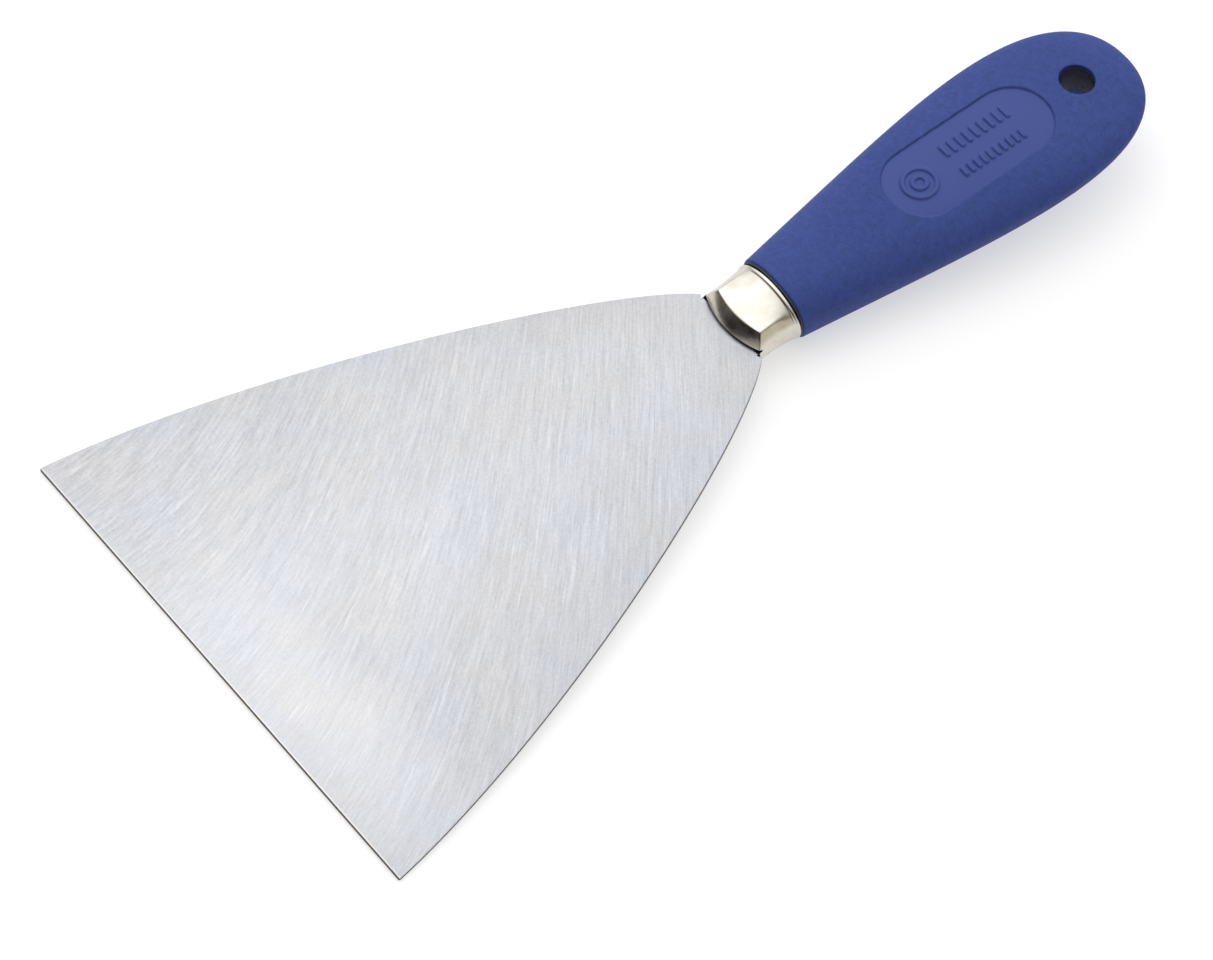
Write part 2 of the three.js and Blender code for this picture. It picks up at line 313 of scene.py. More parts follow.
def blade_outline():
    edge = BLADE_WIDTH / 2
    turns = np.linspace(-math.pi / 2, 0, CORNER_POINTS)
    corner_x = edge - CORNER_RADIUS * (1 - np.cos(turns))
    corner = np.stack([corner_x, CORNER_RADIUS * (1 + np.sin(turns))], 1)
    side_end = (HEEL_HALF_WIDTH, shoulder_y(HEEL_HALF_WIDTH))
    side = bezier((edge, CORNER_RADIUS), *BLADE_SIDE_PULLS, side_end, BLADE_SIDE_POINTS)
    mouth_side = MOUTH_HALF_WIDTH - SLOT_CLEARANCE
    shoulder_x = np.linspace(HEEL_HALF_WIDTH, mouth_side, SHOULDER_POINTS)[1:]
    shoulder = np.stack([shoulder_x, shoulder_y(shoulder_x)], 1)
    heel_end = HANDLE_FRONT - FERRULE_LENGTH + HEEL_DEPTH
    heel = [(mouth_side, heel_end), (TANG_HALF_WIDTH, heel_end)]
    return mirrored_outline(np.concatenate([[(0, 0)], corner, side[1:], shoulder, heel, tang_tip(0)]))


def tang_hole_cutter(y, radius, sides):
    return extruded("cutter", circle(radius, y, sides), -CUTTER_REACH, CUTTER_REACH)


def grind_taper(work):
    """Gives the blade its thickness, which falls along the taper towards the working edge."""
    for vertex in work.verts:
        share = min(vertex.co.y / TAPER_LENGTH, 1.0)
        half = (EDGE_THICKNESS + (HEEL_THICKNESS - EDGE_THICKNESS) * share) / 2
        vertex.co.z = math.copysign(half, vertex.co.z)


def is_rim(edge):
    """Whether an edge runs between a face of the blade and its narrow side."""
    if len(edge.link_faces) != 2 or edge.calc_face_angle() <= RIM_ANGLE:
        return False
    return abs(edge.verts[0].co.z - edge.verts[1].co.z) < EDGE_THICKNESS / 2


def make_blade():
    blade = extruded("blade_steel", blade_outline(), -HEEL_THICKNESS / 2, HEEL_THICKNESS / 2)
    for y in TANG_HOLES:
        combine(blade, tang_hole_cutter(y, TANG_HOLE_RADIUS, CIRCLE_SIDES), "DIFFERENCE")
    work = bmesh.new()
    work.from_mesh(blade.data)
    everything = [*work.verts, *work.edges, *work.faces]
    bmesh.ops.bisect_plane(work, geom=everything, plane_co=(0, TAPER_LENGTH, 0), plane_no=(0, 1, 0))
    grind_taper(work)
    rims = [edge for edge in work.edges if is_rim(edge)]
    bmesh.ops.bevel(work, geom=rims, offset=BURR, segments=BURR_SEGMENTS, profile=0.5, affect="EDGES")
    work.to_mesh(blade.data)
    work.free()
    return placed(blade, TOOL, smooth_angle=25)


# ---- Ferrule ----

def ferrule_setback(x, z):
    """How far back the ferrule's front stands at a point, counted from its foremost point."""
    side = (x / FERRULE_HALF_WIDTH) ** 2
    height = np.abs(z) / FERRULE_FRONT_HALF_HEIGHT
    slope = FERRULE_SLOPE * (1 - FERRULE_SLOPE_LOSS * side)
    return FERRULE_BOW * side + slope * height ** FERRULE_SLOPE_POWER


def mirrored_ring(upper, lower):
    """x and z round a section, from its quarters from the side to the top and to the bottom."""
    x = np.concatenate([-upper[0][:-1], upper[0][1:][::-1], lower[0][:-1], -lower[0][1:][::-1]])
    z = np.concatenate([upper[1][:-1], upper[1][1:][::-1], -lower[1][:-1], -lower[1][1:][::-1]])
    return x, z


def ferrule_ring(share, inset):
    """x and z round the ferrule's section, from flat-topped at the front (share 0) to oval (share 1).

    The sides bulge, but less than an oval's: SIDE_FLATNESS draws them towards a straight line.
    """
    width = FERRULE_HALF_WIDTH - inset
    front_height = FERRULE_FRONT_HALF_HEIGHT - inset
    rear_height = FERRULE_REAR_HALF_HEIGHT - inset
    crease = FERRULE_FRONT_CREASE - inset
    rise = np.linspace(0, 1, FERRULE_SIDE_POINTS, endpoint=False)
    flat_x = width - (width - crease) * rise
    side_z = rear_height * math.sqrt(1 - (crease / width) ** 2) * rise
    side_x = width * np.sqrt(1 - (side_z / rear_height) ** 2)
    side_flatness = SIDE_FLATNESS * (1 - smoothstep((share - FLAT_END) / (1 - FLAT_END)))
    side_x += side_flatness * (flat_x - side_x)
    top_x = crease * np.linspace(1, 0, FERRULE_TOP_POINTS)
    top_z = rear_height * np.sqrt(1 - (top_x / width) ** 2)
    bowed_x = width - (width - crease) * rise ** 2
    front_x = np.concatenate([bowed_x + SIDE_FLATNESS * (flat_x - bowed_x), top_x])
    front_z = np.concatenate([front_height * rise, np.full(FERRULE_TOP_POINTS, front_height)])
    x = front_x * (1 - share) + np.concatenate([side_x, top_x]) * share
    z = front_z * (1 - share) + np.concatenate([side_z, top_z]) * share
    return mirrored_ring((x, z), (x, z))


def ferrule_front_rows(inset, scales):
    """Rings over the ferrule's front, each its outline at a smaller scale."""
    x, z = ferrule_ring(0, inset)
    rows = []
    for scale in scales:
        y = inset - FERRULE_LENGTH + ferrule_setback(x * scale, z * scale)
        rows.append(np.stack([x * scale, y, z * scale], 1))
    return rows


def ferrule_wall_rows(inset, rear, shares):
    """Rings along the ferrule's wall, from its front's outline to y = rear."""
    front_y = ferrule_front_rows(inset, [1.0])[0][:, 1]
    rows = []
    for share in shares:
        x, z = ferrule_ring(share, inset)
        rows.append(np.stack([x, front_y * (1 - share) + rear * share, z], 1))
    return rows


def ferrule_outside():
    wall_end = -SEAM - LIP_WIDTH
    rows = ferrule_front_rows(0, np.linspace(INNERMOST_RING, 1, FERRULE_FRONT_RINGS))
    rows += ferrule_wall_rows(0, wall_end, np.linspace(0, 1, FERRULE_WALL_RINGS)[1:])
    for turn in np.linspace(0, math.pi, LIP_RINGS)[1:]:
        x, z = ferrule_ring(1, -LIP_HEIGHT * math.sin(turn))
        y = wall_end + LIP_WIDTH * (1 - math.cos(turn)) / 2
        rows.append(np.stack([x, np.full(len(x), y), z], 1))
    return softened(np.array(rows), CREASE_SOFTENING)


def ferrule_hollow(inset, rear):
    rows = ferrule_front_rows(inset, np.linspace(HOLLOW_INNERMOST_RING, 1, HOLLOW_FRONT_RINGS))
    rows += ferrule_wall_rows(inset, rear, np.linspace(0, 1, HOLLOW_WALL_RINGS)[1:])
    return np.array(rows)


def ferrule_mouth():
    """The slot in the ferrule's front, a little higher and wider than the steel that goes into it."""
    start = HANDLE_FRONT - 2 * FERRULE_LENGTH
    end = HANDLE_FRONT - FERRULE_LENGTH + MOUTH_DEPTH
    half = [(0, start), (MOUTH_HALF_WIDTH, start), (MOUTH_HALF_WIDTH, end), (0, end)]
    mouth = extruded("mouth", mirrored_outline(half), -MOUTH_HALF_HEIGHT, MOUTH_HALF_HEIGHT)
    mouth.data.transform(HANDLE.inverted() @ TOOL)
    return mouth


def tang_room(clearance, with_posts):
    """The room for the tang in the ferrule and the core, in the handle frame."""
    foremost = HANDLE_FRONT - 2 * FERRULE_LENGTH
    width = TANG_HALF_WIDTH + clearance
    half = [(0, foremost), (width, foremost), (width, HANDLE_FRONT - FERRULE_LENGTH), *tang_tip(clearance)]
    height = HEEL_THICKNESS / 2 + clearance
    room = extruded("tang_room", mirrored_outline(half), -height, height)
    if with_posts:
        for y in TANG_HOLES:
            post = tang_hole_cutter(y, TANG_HOLE_RADIUS - clearance, POST_SIDES)
            combine(room, post, "DIFFERENCE")
    room.data.transform(HANDLE.inverted() @ TOOL)
    return room


def make_ferrule():
    ferrule = closed_grid("ferrule_shell", ferrule_outside())
    hollow = closed_grid("hollow", ferrule_hollow(FERRULE_WALL, FERRULE_WALL))
    combine(ferrule, hollow, "DIFFERENCE")
    combine(ferrule, tang_room(SLOT_CLEARANCE, with_posts=False), "DIFFERENCE")
    combine(ferrule, ferrule_mouth(), "DIFFERENCE")
    return placed(ferrule, HANDLE, smooth_angle=40)


# ---- Handle ----

def handle_section(y, inset):
    """Half-width, height above and depth below the middle at a station of the handle, less an inset."""
    share = np.clip(y / (HANDLE_LENGTH - inset), -1, 1)
    nose = 1 - share ** NOSE_START
    front = HANDLE_FRONT_HALF_THICKNESS - inset
    width = (HANDLE_FRONT_HALF_WIDTH + HANDLE_WIDENING * share - inset) * nose ** WIDTH_BLUNTNESS
    height = (front - HANDLE_TOP_FALL * share) * nose ** THICKNESS_BLUNTNESS
    depth = (front + HANDLE_BELLY * share) * nose ** THICKNESS_BLUNTNESS
    return width, height, depth


def unit_quarter(points):
    """x and z of a unit quarter section from its side to its top, evenly spaced in x near the top.

    points says how many the side has and how many the top.
    """
    side_points, top_points = points
    join = math.acos(TOP_SHARE ** (SECTION_POWER / 2))
    turns = np.linspace(0, join, side_points, endpoint=False)
    side_x = np.cos(turns) ** (2 / SECTION_POWER)
    side_z = np.sin(turns) ** (2 / SECTION_POWER)
    top_x = np.linspace(TOP_SHARE, 0, top_points)
    top_z = (1 - top_x ** SECTION_POWER) ** (1 / SECTION_POWER)
    return np.concatenate([side_x, top_x]), np.concatenate([side_z, top_z])


def handle_rows(stations, inset, upper, lower, trim=None):
    """Rings of the handle at stations along it, from an upper and a lower unit quarter section.

    trim narrows each ring by that much all round.
    """
    trim = np.zeros(len(stations)) if trim is None else trim
    rows = []
    for y, cut in zip(stations, trim):
        width, height, depth = handle_section(y, inset)
        top = ((width - cut) * upper[0], (height - cut) * upper[1])
        bottom = ((width - cut) * lower[0], (depth - cut) * lower[1])
        x, z = mirrored_ring(top, bottom)
        rows.append(np.stack([x, np.full(len(x), y), z], 1))
    return np.array(rows)


def nose_stations(start, end, count):
    """Stations that crowd together towards the round end."""
    turns = np.linspace(0, NOSE_CUTOFF * math.pi / 2, count)
    return start + (end - start) * np.sin(turns)


def panel_distance(x, y):
    """Signed distance to the label panel's round-ended outline, negative inside."""
    radius = LABEL_WIDTH / 2
    along = np.maximum(np.abs(y - LABEL_Y) - (LABEL_LENGTH / 2 - radius), 0)
    return np.hypot(x, along) - radius


def bar_distance(x, y, start, end):
    """Distance to the straight stroke between two points."""
    start, end = np.array(start), np.array(end)
    along = end - start
    share = ((x - start[0]) * along[0] + (y - start[1]) * along[1]) / (along @ along)
    share = np.clip(share, 0, 1)
    return np.hypot(x - start[0] - share * along[0], y - start[1] - share * along[1])


def mark_height(x, y):
    """Height of the plain raised marks on the label panel: two rings, and two rows of short bars."""
    ring = np.hypot(x, y - LABEL_Y - RING_Y)
    distance = np.minimum(np.abs(ring - RING_RADIUS), np.abs(ring - RING_RADIUS / RING_RATIO))
    for middle, half_height, first, pitch, count in BAR_ROWS:
        for step in range(count):
            bar_y = LABEL_Y + first + step * pitch
            bar = bar_distance(x, y, (middle - half_height, bar_y), (middle + half_height, bar_y))
            distance = np.minimum(distance, bar)
    return MARK_HEIGHT * smoothstep((MARK_HALF_WIDTH - distance) / MARK_SLOPE + 0.5)


def rounding_drop(distance, radius):
    """How far a rounded edge has fallen away at a distance from the wall that it turns into."""
    run = np.clip(radius - distance, 0, radius)
    return radius - np.sqrt(radius ** 2 - run ** 2)


def grip_relief(rows):
    """Sinks the label panel, raises its marks and rounds the rim of the hang hole."""
    x, y, z = rows[..., 0], rows[..., 1], rows[..., 2]
    panel = smoothstep(0.5 - panel_distance(x, y) / LABEL_EDGE)
    sink = panel * (LABEL_DEPTH - mark_height(x, y))
    outside_hole = np.hypot(x, y - HANG_HOLE_Y) - HANG_HOLE_RADIUS
    rim = rounding_drop(outside_hole, HOLE_ROUNDING)
    rows[..., 2] = np.where(z > UPPER_FACE, z - sink - rim, z)
    return rows


def hang_hole_cutter():
    """A cone through the handle that has the hang hole's radius at the upper face."""
    reach = 4 * HANDLE_FRONT_HALF_THICKNESS
    top = handle_section(HANG_HOLE_Y, 0)[1]
    rings = []
    for z in (-reach, reach):
        ring = circle(HANG_HOLE_RADIUS + (z - top) * math.tan(HOLE_DRAFT), HANG_HOLE_Y, HOLE_SIDES)
        rings.append(np.column_stack([ring, np.full(len(ring), z)]))
    return closed_grid("cutter", np.array(rings))


def grip_stations():
    """Stations of the grip's outside behind its rounding, close together where it has fine detail."""
    front = LABEL_Y - LABEL_LENGTH / 2 - FINE_MARGIN
    rear = LABEL_Y + LABEL_LENGTH / 2 + FINE_MARGIN
    hole_front = HANG_HOLE_Y - HANG_HOLE_RADIUS - FINE_MARGIN
    hole_rear = HANG_HOLE_Y + HANG_HOLE_RADIUS + FINE_MARGIN
    return np.concatenate([
        np.linspace(GRIP_FRONT + FRONT_ROUNDING, front, GRIP_FRONT_RINGS, endpoint=False),
        np.arange(front, rear, FINE_PITCH),
        np.linspace(rear, hole_front, GRIP_BRIDGE_RINGS)[1:],
        np.arange(hole_front, hole_rear, FINE_PITCH)[1:],
        nose_stations(hole_rear, HANDLE_LENGTH - SKIN_INSET, GRIP_NOSE_RINGS)[1:],
    ])


def add_panel_mask(grip):
    """Marks the label panel's floor, which is smoother than the grained skin round it."""
    to_handle = HANDLE.inverted()
    mask = grip.data.attributes.new("panel_floor", "FLOAT", "POINT")
    values = []
    for vertex in grip.data.vertices:
        point = to_handle @ vertex.co
        inside = point.z > 0 and panel_distance(point.x, point.y) < -PANEL_MARGIN
        values.append(1.0 if inside else 0.0)
    mask.data.foreach_set("value", values)


def make_grip():
    upper = unit_quarter(GRIP_UPPER_POINTS)
    lower = unit_quarter(GRIP_LOWER_POINTS)
    turns = np.linspace(0, math.pi / 2, ROUNDING_RINGS, endpoint=False)
    rounding_y = GRIP_FRONT + FRONT_ROUNDING * (1 - np.sin(turns))[::-1]
    rounding_trim = FRONT_ROUNDING * (1 - np.cos(turns))[::-1]
    stations = np.concatenate([rounding_y, grip_stations()])
    trim = np.concatenate([rounding_trim, np.zeros(len(stations) - len(rounding_y))])
    outside = grip_relief(handle_rows(stations, SKIN_INSET, upper, lower, trim))
    wall = GRIP_WALL - SEAM
    inside_stations = nose_stations(GRIP_FRONT, HANDLE_LENGTH - wall, GRIP_INSIDE_RINGS)
    inside = handle_rows(inside_stations, wall, upper, lower)
    grip = closed_grid("grip_moulding", np.concatenate([outside[::-1], inside]))
    combine(grip, hang_hole_cutter(), "DIFFERENCE")
    grip = placed(grip, HANDLE, smooth_angle=35)
    add_panel_mask(grip)
    return grip


def make_core():
    quarter = unit_quarter(CORE_POINTS)
    # The body starts one gap in front of the spigot's rear, so that the two overlap and join.
    stations = np.concatenate([[-2 * GAP], nose_stations(0, HANDLE_LENGTH - GRIP_WALL, CORE_RINGS)])
    core = closed_grid("core_moulding", handle_rows(stations, GRIP_WALL, quarter, quarter))
    spigot = closed_grid("spigot", ferrule_hollow(FERRULE_WALL + SEAM, -GAP))
    combine(core, spigot, "UNION")
    # The collar shows as a near-black ring between ferrule and grip: painted shade for the gap there.
    collar_rows = handle_rows(np.array([0.0, GRIP_FRONT - SEAM]), COLLAR_INSET, quarter, quarter)
    combine(core, closed_grid("collar", collar_rows), "UNION")
    combine(core, tang_room(SEAM, with_posts=True), "DIFFERENCE")
    combine(core, hang_hole_cutter(), "DIFFERENCE")
    return placed(core, HANDLE, smooth_angle=35)


# ---- Materials ----

# How the blade's grinding marks lie: x + SLANT * y + BEND * y**2 + FAN * x * y is constant along
# a mark, in metres, where y is counted from -GRINDING_START, close to the working edge.
GRINDING_SLANT = 0.23
GRINDING_BEND = 8.1
GRINDING_FAN = 4.8
GRINDING_START = 0.1
EDGE_SHADE_COLOUR = (0.085, 0.065, 0.055)  # painted shade: a dark colour on the blade's narrow sides and along its working edge, for their dark reflections and the contact shadow
# Along the working edge, from full strength to none, in millimetres from it: a band of painted shade, then
# a painted highlight line.
EDGE_SHADE_BAND = (0.13, 0.19)
EDGE_HIGHLIGHT_BAND = (0.25, 0.5)


def set_stops(ramp, stops):
    """Gives a new colour ramp its stops. It starts with two of its own."""
    for index, (position, colour) in enumerate(stops):
        stop = ramp.elements[index] if index < 2 else ramp.elements.new(position)
        stop.position = position
        stop.color = (*colour, 1.0)


class Shader:
    """A procedural material under construction."""

    def __init__(self, name):
        self.material = bpy.data.materials.new(name)
        self.material.use_nodes = True
        self.nodes = self.material.node_tree.nodes
        self.links = self.material.node_tree.links
        self.principled = self.nodes["Principled BSDF"]
        self.coordinates = self.nodes.new("ShaderNodeTexCoord").outputs["Object"]

    def set(self, **values):
        for name, value in values.items():
            self.principled.inputs[name.replace("_", " ")].default_value = value

    def link(self, output, socket):
        self.links.new(output, self.principled.inputs[socket])

    def math(self, operation, *values):
        node = self.nodes.new("ShaderNodeMath")
        node.operation = operation
        for socket, value in zip(node.inputs, values):
            if isinstance(value, (int, float)):
                socket.default_value = value
            else:
                self.links.new(value, socket)
        return node.outputs[0]

    def weighted(self, a, weight_a, b, weight_b):
        """The sum of two values, each multiplied by its weight."""
        return self.math("ADD", self.math("MULTIPLY", a, weight_a), self.math("MULTIPLY", b, weight_b))

    def scaled(self, vector, scale):
        node = self.nodes.new("ShaderNodeMapping")
        node.inputs["Scale"].default_value = scale
        self.links.new(vector, node.inputs["Vector"])
        return node.outputs[0]

    def noise(self, vector, scale, detail=3.0, roughness=0.5):
        node = self.nodes.new("ShaderNodeTexNoise")
        node.inputs["Scale"].default_value = scale
        node.inputs["Detail"].default_value = detail
        node.inputs["Roughness"].default_value = roughness
        self.links.new(vector, node.inputs["Vector"])
        return node.outputs["Fac"]

    def ramp(self, value, stops):
        node = self.nodes.new("ShaderNodeValToRGB")
        set_stops(node.color_ramp, stops)
        self.links.new(value, node.inputs["Fac"])
        return node.outputs["Color"]

    def to_range(self, value, low, high, new_low, new_high):
        node = self.nodes.new("ShaderNodeMapRange")
        limits = {"From Min": low, "From Max": high, "To Min": new_low, "To Max": new_high}
        for name, number in limits.items():
            node.inputs[name].default_value = number
        self.links.new(value, node.inputs["Value"])
        return node.outputs["Result"]

    def band(self, distance, limits):
        """1 up to the nearer limit, falling to 0 at the farther one. The limits are in millimetres."""
        near, far = limits
        return self.to_range(distance, near * MM, far * MM, 1.0, 0.0)

    def mix(self, factor, a, b, blend="MIX"):
        node = self.nodes.new("ShaderNodeMix")
        node.data_type = "RGBA"
        node.blend_type = blend
        for name, value in (("Factor", factor), ("A", a), ("B", b)):
            socket = node.inputs[name]
            if isinstance(value, (int, float)):
                socket.default_value = value
            elif isinstance(value, tuple):
                socket.default_value = (*value, 1.0)
            else:
                self.links.new(value, socket)
        return node.outputs["Result"]

    def grey(self, value):
        """A value as a colour with three equal channels."""
        node = self.nodes.new("ShaderNodeCombineXYZ")
        for socket in node.inputs:
            self.links.new(value, socket)
        return node.outputs[0]

    def facing_up(self):
        """1 on the faces that lie flat, up or down, and 0 on the narrow sheared ones between them."""
        normal = self.split(self.nodes.new("ShaderNodeNewGeometry").outputs["True Normal"])
        return self.to_range(self.math("ABSOLUTE", normal["Z"]), 0.3, 0.6, 0.0, 1.0)

    def split(self, vector):
        node = self.nodes.new("ShaderNodeSeparateXYZ")
        self.links.new(vector, node.inputs[0])
        return node.outputs

    def bump(self, height, distance, strength):
        node = self.nodes.new("ShaderNodeBump")
        node.inputs["Strength"].default_value = strength
        node.inputs["Distance"].default_value = distance
        self.links.new(height, node.inputs["Height"])
        return node.outputs["Normal"]


def grinding_coordinates(shader):
    """Coordinates whose first axis runs across the grinding marks, which curve along the blade."""
    x, y, z = shader.split(shader.coordinates)
    along = shader.math("ADD", y, GRINDING_START)
    slant = shader.math("MULTIPLY", along, GRINDING_SLANT)
    bend = shader.math("MULTIPLY", shader.math("MULTIPLY", along, along), GRINDING_BEND)
    fan = shader.math("MULTIPLY", shader.math("MULTIPLY", x, along), GRINDING_FAN)
    across = shader.math("ADD", shader.math("ADD", x, slant), shader.math("ADD", bend, fan))
    join = shader.nodes.new("ShaderNodeCombineXYZ")
    for socket, value in zip(join.inputs, (across, y, z)):
        shader.links.new(value, socket)
    return join.outputs[0]


def blade_material():
    """Steel with fine curved grinding marks, painted shade that darkens its narrow sides and working edge,
    and a painted highlight line behind the edge.
    """
    shader = Shader("ground_steel")
    marks = grinding_coordinates(shader)
    fine = shader.noise(shader.scaled(marks, (3000, 330, 330)), 1.0, detail=3, roughness=0.6)
    broad = shader.noise(shader.scaled(marks, (1250, 130, 130)), 1.0, detail=3, roughness=0.6)
    speckle = shader.noise(shader.coordinates, 1900, detail=2, roughness=0.6)
    cloud = shader.noise(shader.coordinates, 60, detail=4, roughness=0.55)
    tint = shader.noise(shader.coordinates, 70, detail=3)
    cuts = shader.noise(shader.scaled(marks, (1400, 110, 110)), 1.0, detail=1)
    streaks = shader.weighted(fine, 0.5, broad, 0.5)
    scratch = shader.weighted(streaks, 0.75, speckle, 0.25)
    steel = shader.ramp(tint, [(0.35, (0.458, 0.455, 0.464)), (0.65, (0.443, 0.455, 0.49))])
    shade = shader.to_range(scratch, 0.25, 0.75, 0.66, 1.34)
    mottle = shader.to_range(cloud, 0.3, 0.7, 0.975, 1.025)
    bright_cuts = shader.to_range(cuts, 0.66, 0.72, 1.0, 1.10)
    tone = shader.math("MULTIPLY", shader.math("MULTIPLY", shade, mottle), bright_cuts)
    ground = shader.mix(1.0, steel, shader.grey(tone), "MULTIPLY")
    edge_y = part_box("blade")[0].y
    from_edge = shader.math("SUBTRACT", shader.split(shader.coordinates)["Y"], edge_y)
    # Painted highlight: a pale line a little behind the working edge.
    edge_highlight = shader.band(from_edge, EDGE_HIGHLIGHT_BAND)
    # Painted shade: a dark band right along the working edge.
    edge_shade = shader.band(from_edge, EDGE_SHADE_BAND)
    ground = shader.mix(edge_highlight, ground, (0.60, 0.60, 0.61))
    ground = shader.mix(edge_shade, ground, EDGE_SHADE_COLOUR)
    # Painted shade: the narrow sides take the dark edge colour.
    shader.link(shader.mix(shader.facing_up(), EDGE_SHADE_COLOUR, ground), "Base Color")
    shader.link(shader.to_range(scratch, 0.3, 0.7, 0.33, 0.50), "Roughness")
    shader.link(shader.bump(scratch, 0.00002, 0.6), "Normal")
    shader.set(Metallic=1.0)
    return shader.material


def ferrule_material():
    """Bright plating with a warm tinge, slightly cloudy, with faint lines along it."""
    shader = Shader("plated_steel")
    wear = shader.noise(shader.coordinates, 420, detail=4, roughness=0.6)
    cloud = shader.noise(shader.coordinates, 320, detail=4, roughness=0.6)
    lines = shader.noise(shader.scaled(shader.coordinates, (2600, 260, 2600)), 1.0, detail=2)
    plating = shader.ramp(cloud, [(0.3, (0.585, 0.555, 0.48)), (0.7, (0.70, 0.675, 0.61))])
    shader.link(plating, "Base Color")
    shader.link(shader.to_range(wear, 0.3, 0.7, 0.14, 0.26), "Roughness")
    shader.link(shader.bump(lines, 0.00001, 0.5), "Normal")
    shader.set(Metallic=1.0)
    return shader.material


def grip_material():
    """Matt blue moulded plastic with a fine grain, which fades on the label panel's smoother floor."""
    shader = Shader("blue_plastic")
    mask = shader.nodes.new("ShaderNodeAttribute")
    mask.attribute_name = "panel_floor"
    panel = mask.outputs["Fac"]
    grain = shader.noise(shader.coordinates, 2400, detail=2, roughness=0.6)
    pores = shader.noise(shader.coordinates, 800, detail=3, roughness=0.6)
    cloud = shader.noise(shader.coordinates, 60, detail=3)
    relief = shader.weighted(grain, 0.45, pores, 0.55)
    grained = shader.math("MULTIPLY", relief, shader.to_range(panel, 0, 1, 1.0, 0.35))
    blue = shader.ramp(cloud, [(0.3, (0.0352, 0.0622, 0.250)), (0.7, (0.0417, 0.0712, 0.272))])
    light = shader.to_range(relief, 0.3, 0.7, 0.79, 1.21)
    skin = shader.mix(1.0, blue, shader.grey(light), "MULTIPLY")
    shader.link(shader.mix(panel, skin, (0.051, 0.081, 0.294)), "Base Color")
    shader.link(shader.to_range(panel, 0, 1, 0.62, 0.50), "Roughness")
    shader.link(shader.bump(grained, 0.00006, 0.5), "Normal")
    shader.set(Metallic=0.0, Specular_IOR_Level=0.19)
    return shader.material


def core_material():
    """Near-black moulded plastic, which shows in the hang hole and at the collar: painted shade, its dark
    colour standing in for the shade inside the hole and in the gap behind the ferrule.
    """
    shader = Shader("black_plastic")
    grain = shader.noise(shader.coordinates, 1500, detail=3)
    cloud = shader.noise(shader.coordinates, 200, detail=2)
    # Painted shade: the core is near-black so that the hang hole and the collar read as shade.
    black = shader.ramp(cloud, [(0.3, (0.006, 0.013, 0.042)), (0.7, (0.010, 0.020, 0.058))])
    shader.link(black, "Base Color")
    shader.link(shader.to_range(grain, 0.3, 0.7, 0.5, 0.65), "Roughness")
    shader.link(shader.bump(grain, 0.00003, 0.4), "Normal")
    return shader.material


def dress(obj, node, material):
    """Gives a piece its material, hangs it on the root body, and hides the CAD node that it stands for."""
    obj.data.materials.clear()
    obj.data.materials.append(material)
    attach(obj, "root")
    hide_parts(node)


dress(make_blade(), "blade", blade_material())
dress(make_ferrule(), "ferrule", ferrule_material())
dress(make_core(), "handle_core", core_material())
dress(make_grip(), "handle_grip", grip_material())


# ---- Studio ----

FLOOR_HALF_SIZE = 4.0
FLOOR_DROP = 0.00005  # keeps the floor just below what the knife lies on
SKY_AXIS = (-0.40, 0.36, 0.843)  # towards the brightest sky, where the blade mirrors it
SKY_STRENGTH = 1.5
SKY_STOPS = (  # from the point opposite the axis, at 0, to the axis, at 1
    (0.0, (0.30, 0.29, 0.27)),
    (0.35, (0.30, 0.29, 0.27)),
    (0.40, (0.015, 0.013, 0.016)),
    (0.53, (0.015, 0.013, 0.016)),
    (0.61, (0.15, 0.135, 0.11)),
    (0.75, (0.45, 0.45, 0.44)),
    (0.90, (1.0, 1.0, 1.0)),
)


def make_floor():
    size = FLOOR_HALF_SIZE
    corners = [(-size, -size, 0), (size, -size, 0), (size, size, 0), (-size, size, 0)]
    floor = mesh_object("floor", corners, [(0, 1, 2, 3)])
    floor.location.z = -FLOOR_DROP
    shader = Shader("paper")
    tone = shader.noise(shader.coordinates, 3)
    shader.link(shader.ramp(tone, [(0.3, (0.51, 0.51, 0.51)), (0.7, (0.53, 0.53, 0.53))]), "Base Color")
    shader.set(Roughness=0.9, Specular_IOR_Level=0.0, Emission_Color=(1, 1, 1, 1), Emission_Strength=0.55)
    floor.data.materials.append(shader.material)


def area_light(name, direction, distance, size, power, colour):
    """A rectangular soft light that shines on the knife's middle from a direction."""
    data = bpy.data.lights.new(name, "AREA")
    data.shape = "RECTANGLE"
    data.size, data.size_y = size
    data.energy = power
    data.color = colour
    light = bpy.data.objects.new(name, data)
    towards = Vector(direction).normalized()
    light.location = towards * distance
    light.rotation_mode = "QUATERNION"
    light.rotation_quaternion = towards.to_track_quat("Z", "Y")
    bpy.context.scene.collection.objects.link(light)
    return light


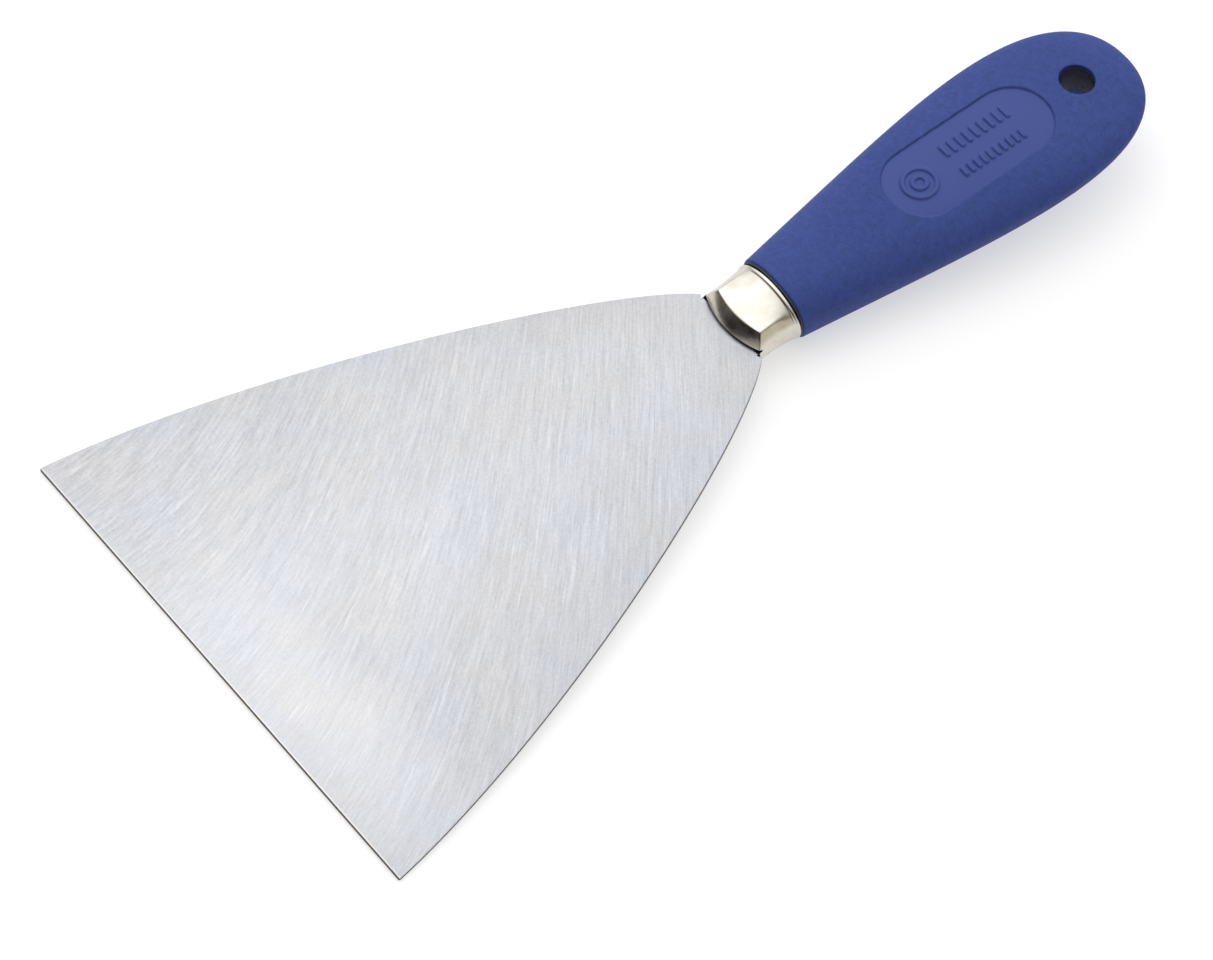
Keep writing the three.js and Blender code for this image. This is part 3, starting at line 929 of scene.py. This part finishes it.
def make_world():
    """A sky that is brightest above and behind the knife, with a dark belt round it farther down."""
    world = bpy.data.worlds.new("studio")
    world.use_nodes = True
    nodes, links = world.node_tree.nodes, world.node_tree.links
    background = nodes["Background"]
    lean = nodes.new("ShaderNodeVectorMath")
    lean.operation = "DOT_PRODUCT"
    lean.inputs[1].default_value = Vector(SKY_AXIS).normalized()
    links.new(nodes.new("ShaderNodeTexCoord").outputs["Generated"], lean.inputs[0])
    height = nodes.new("ShaderNodeMapRange")
    height.inputs["From Min"].default_value = -1.0
    links.new(lean.outputs["Value"], height.inputs["Value"])
    ramp = nodes.new("ShaderNodeValToRGB")
    set_stops(ramp.color_ramp, SKY_STOPS)
    links.new(height.outputs["Result"], ramp.inputs["Fac"])
    links.new(ramp.outputs["Color"], background.inputs["Color"])
    background.inputs["Strength"].default_value = SKY_STRENGTH
    bpy.context.scene.world = world


# The camera, given in the tool frame, in millimetres: it looks down on the blade at
# CAMERA_ELEVATION from a heading of CAMERA_HEADING off the tool's length, rolled by CAMERA_ROLL.
CAMERA_ELEVATION = math.radians(58.06)
CAMERA_HEADING = math.radians(48.44)
CAMERA_ROLL = math.radians(3.1)
CAMERA_OFFSET = (-65.23, -31.75, -888.0)  # of the tool frame's origin, in the camera's own axes
FOCAL_LENGTH = 158.03  # in millimetres, as the sensor's width
SENSOR_WIDTH = 36.0


def make_camera():
    back = Vector((0, -math.cos(CAMERA_ELEVATION), math.sin(CAMERA_ELEVATION)))
    right = Vector((1, 0, 0))
    level = Matrix((right, back.cross(right), back))
    turn = Matrix.Rotation(-CAMERA_ROLL, 3, "Z") @ level @ Matrix.Rotation(-CAMERA_HEADING, 3, "Z")
    axes = turn.transposed()
    data = bpy.data.cameras.new("camera")
    data.sensor_width = SENSOR_WIDTH
    data.lens = FOCAL_LENGTH
    data.clip_start, data.clip_end = 0.01, 20
    camera = bpy.data.objects.new("camera", data)
    bpy.context.scene.collection.objects.link(camera)
    tool_turn = TOOL.to_3x3().normalized()
    location = TOOL @ (-(axes @ Vector(CAMERA_OFFSET)))
    camera.matrix_world = Matrix.LocRotScale(location, (tool_turn @ axes).to_quaternion(), None)
    bpy.context.scene.camera = camera


make_floor()
make_world()
area_light(
    "softbox",
    direction=(-0.43, 0.1, 0.9),
    distance=4.0,
    size=(1.6, 1.6),
    power=11.0,
    colour=(1.0, 1.0, 1.0),
)
card = area_light(
    "reflector_card",
    direction=(0.88, 0.35, 0.17),
    distance=3.0,
    size=(2.4, 1.8),
    power=9.2,
    colour=(1.0, 0.94, 0.79),
)
card.visible_diffuse = False  # it only gives the ferrule's side something pale to mirror
make_camera()
bpy.context.scene.view_settings.view_transform = "Standard"
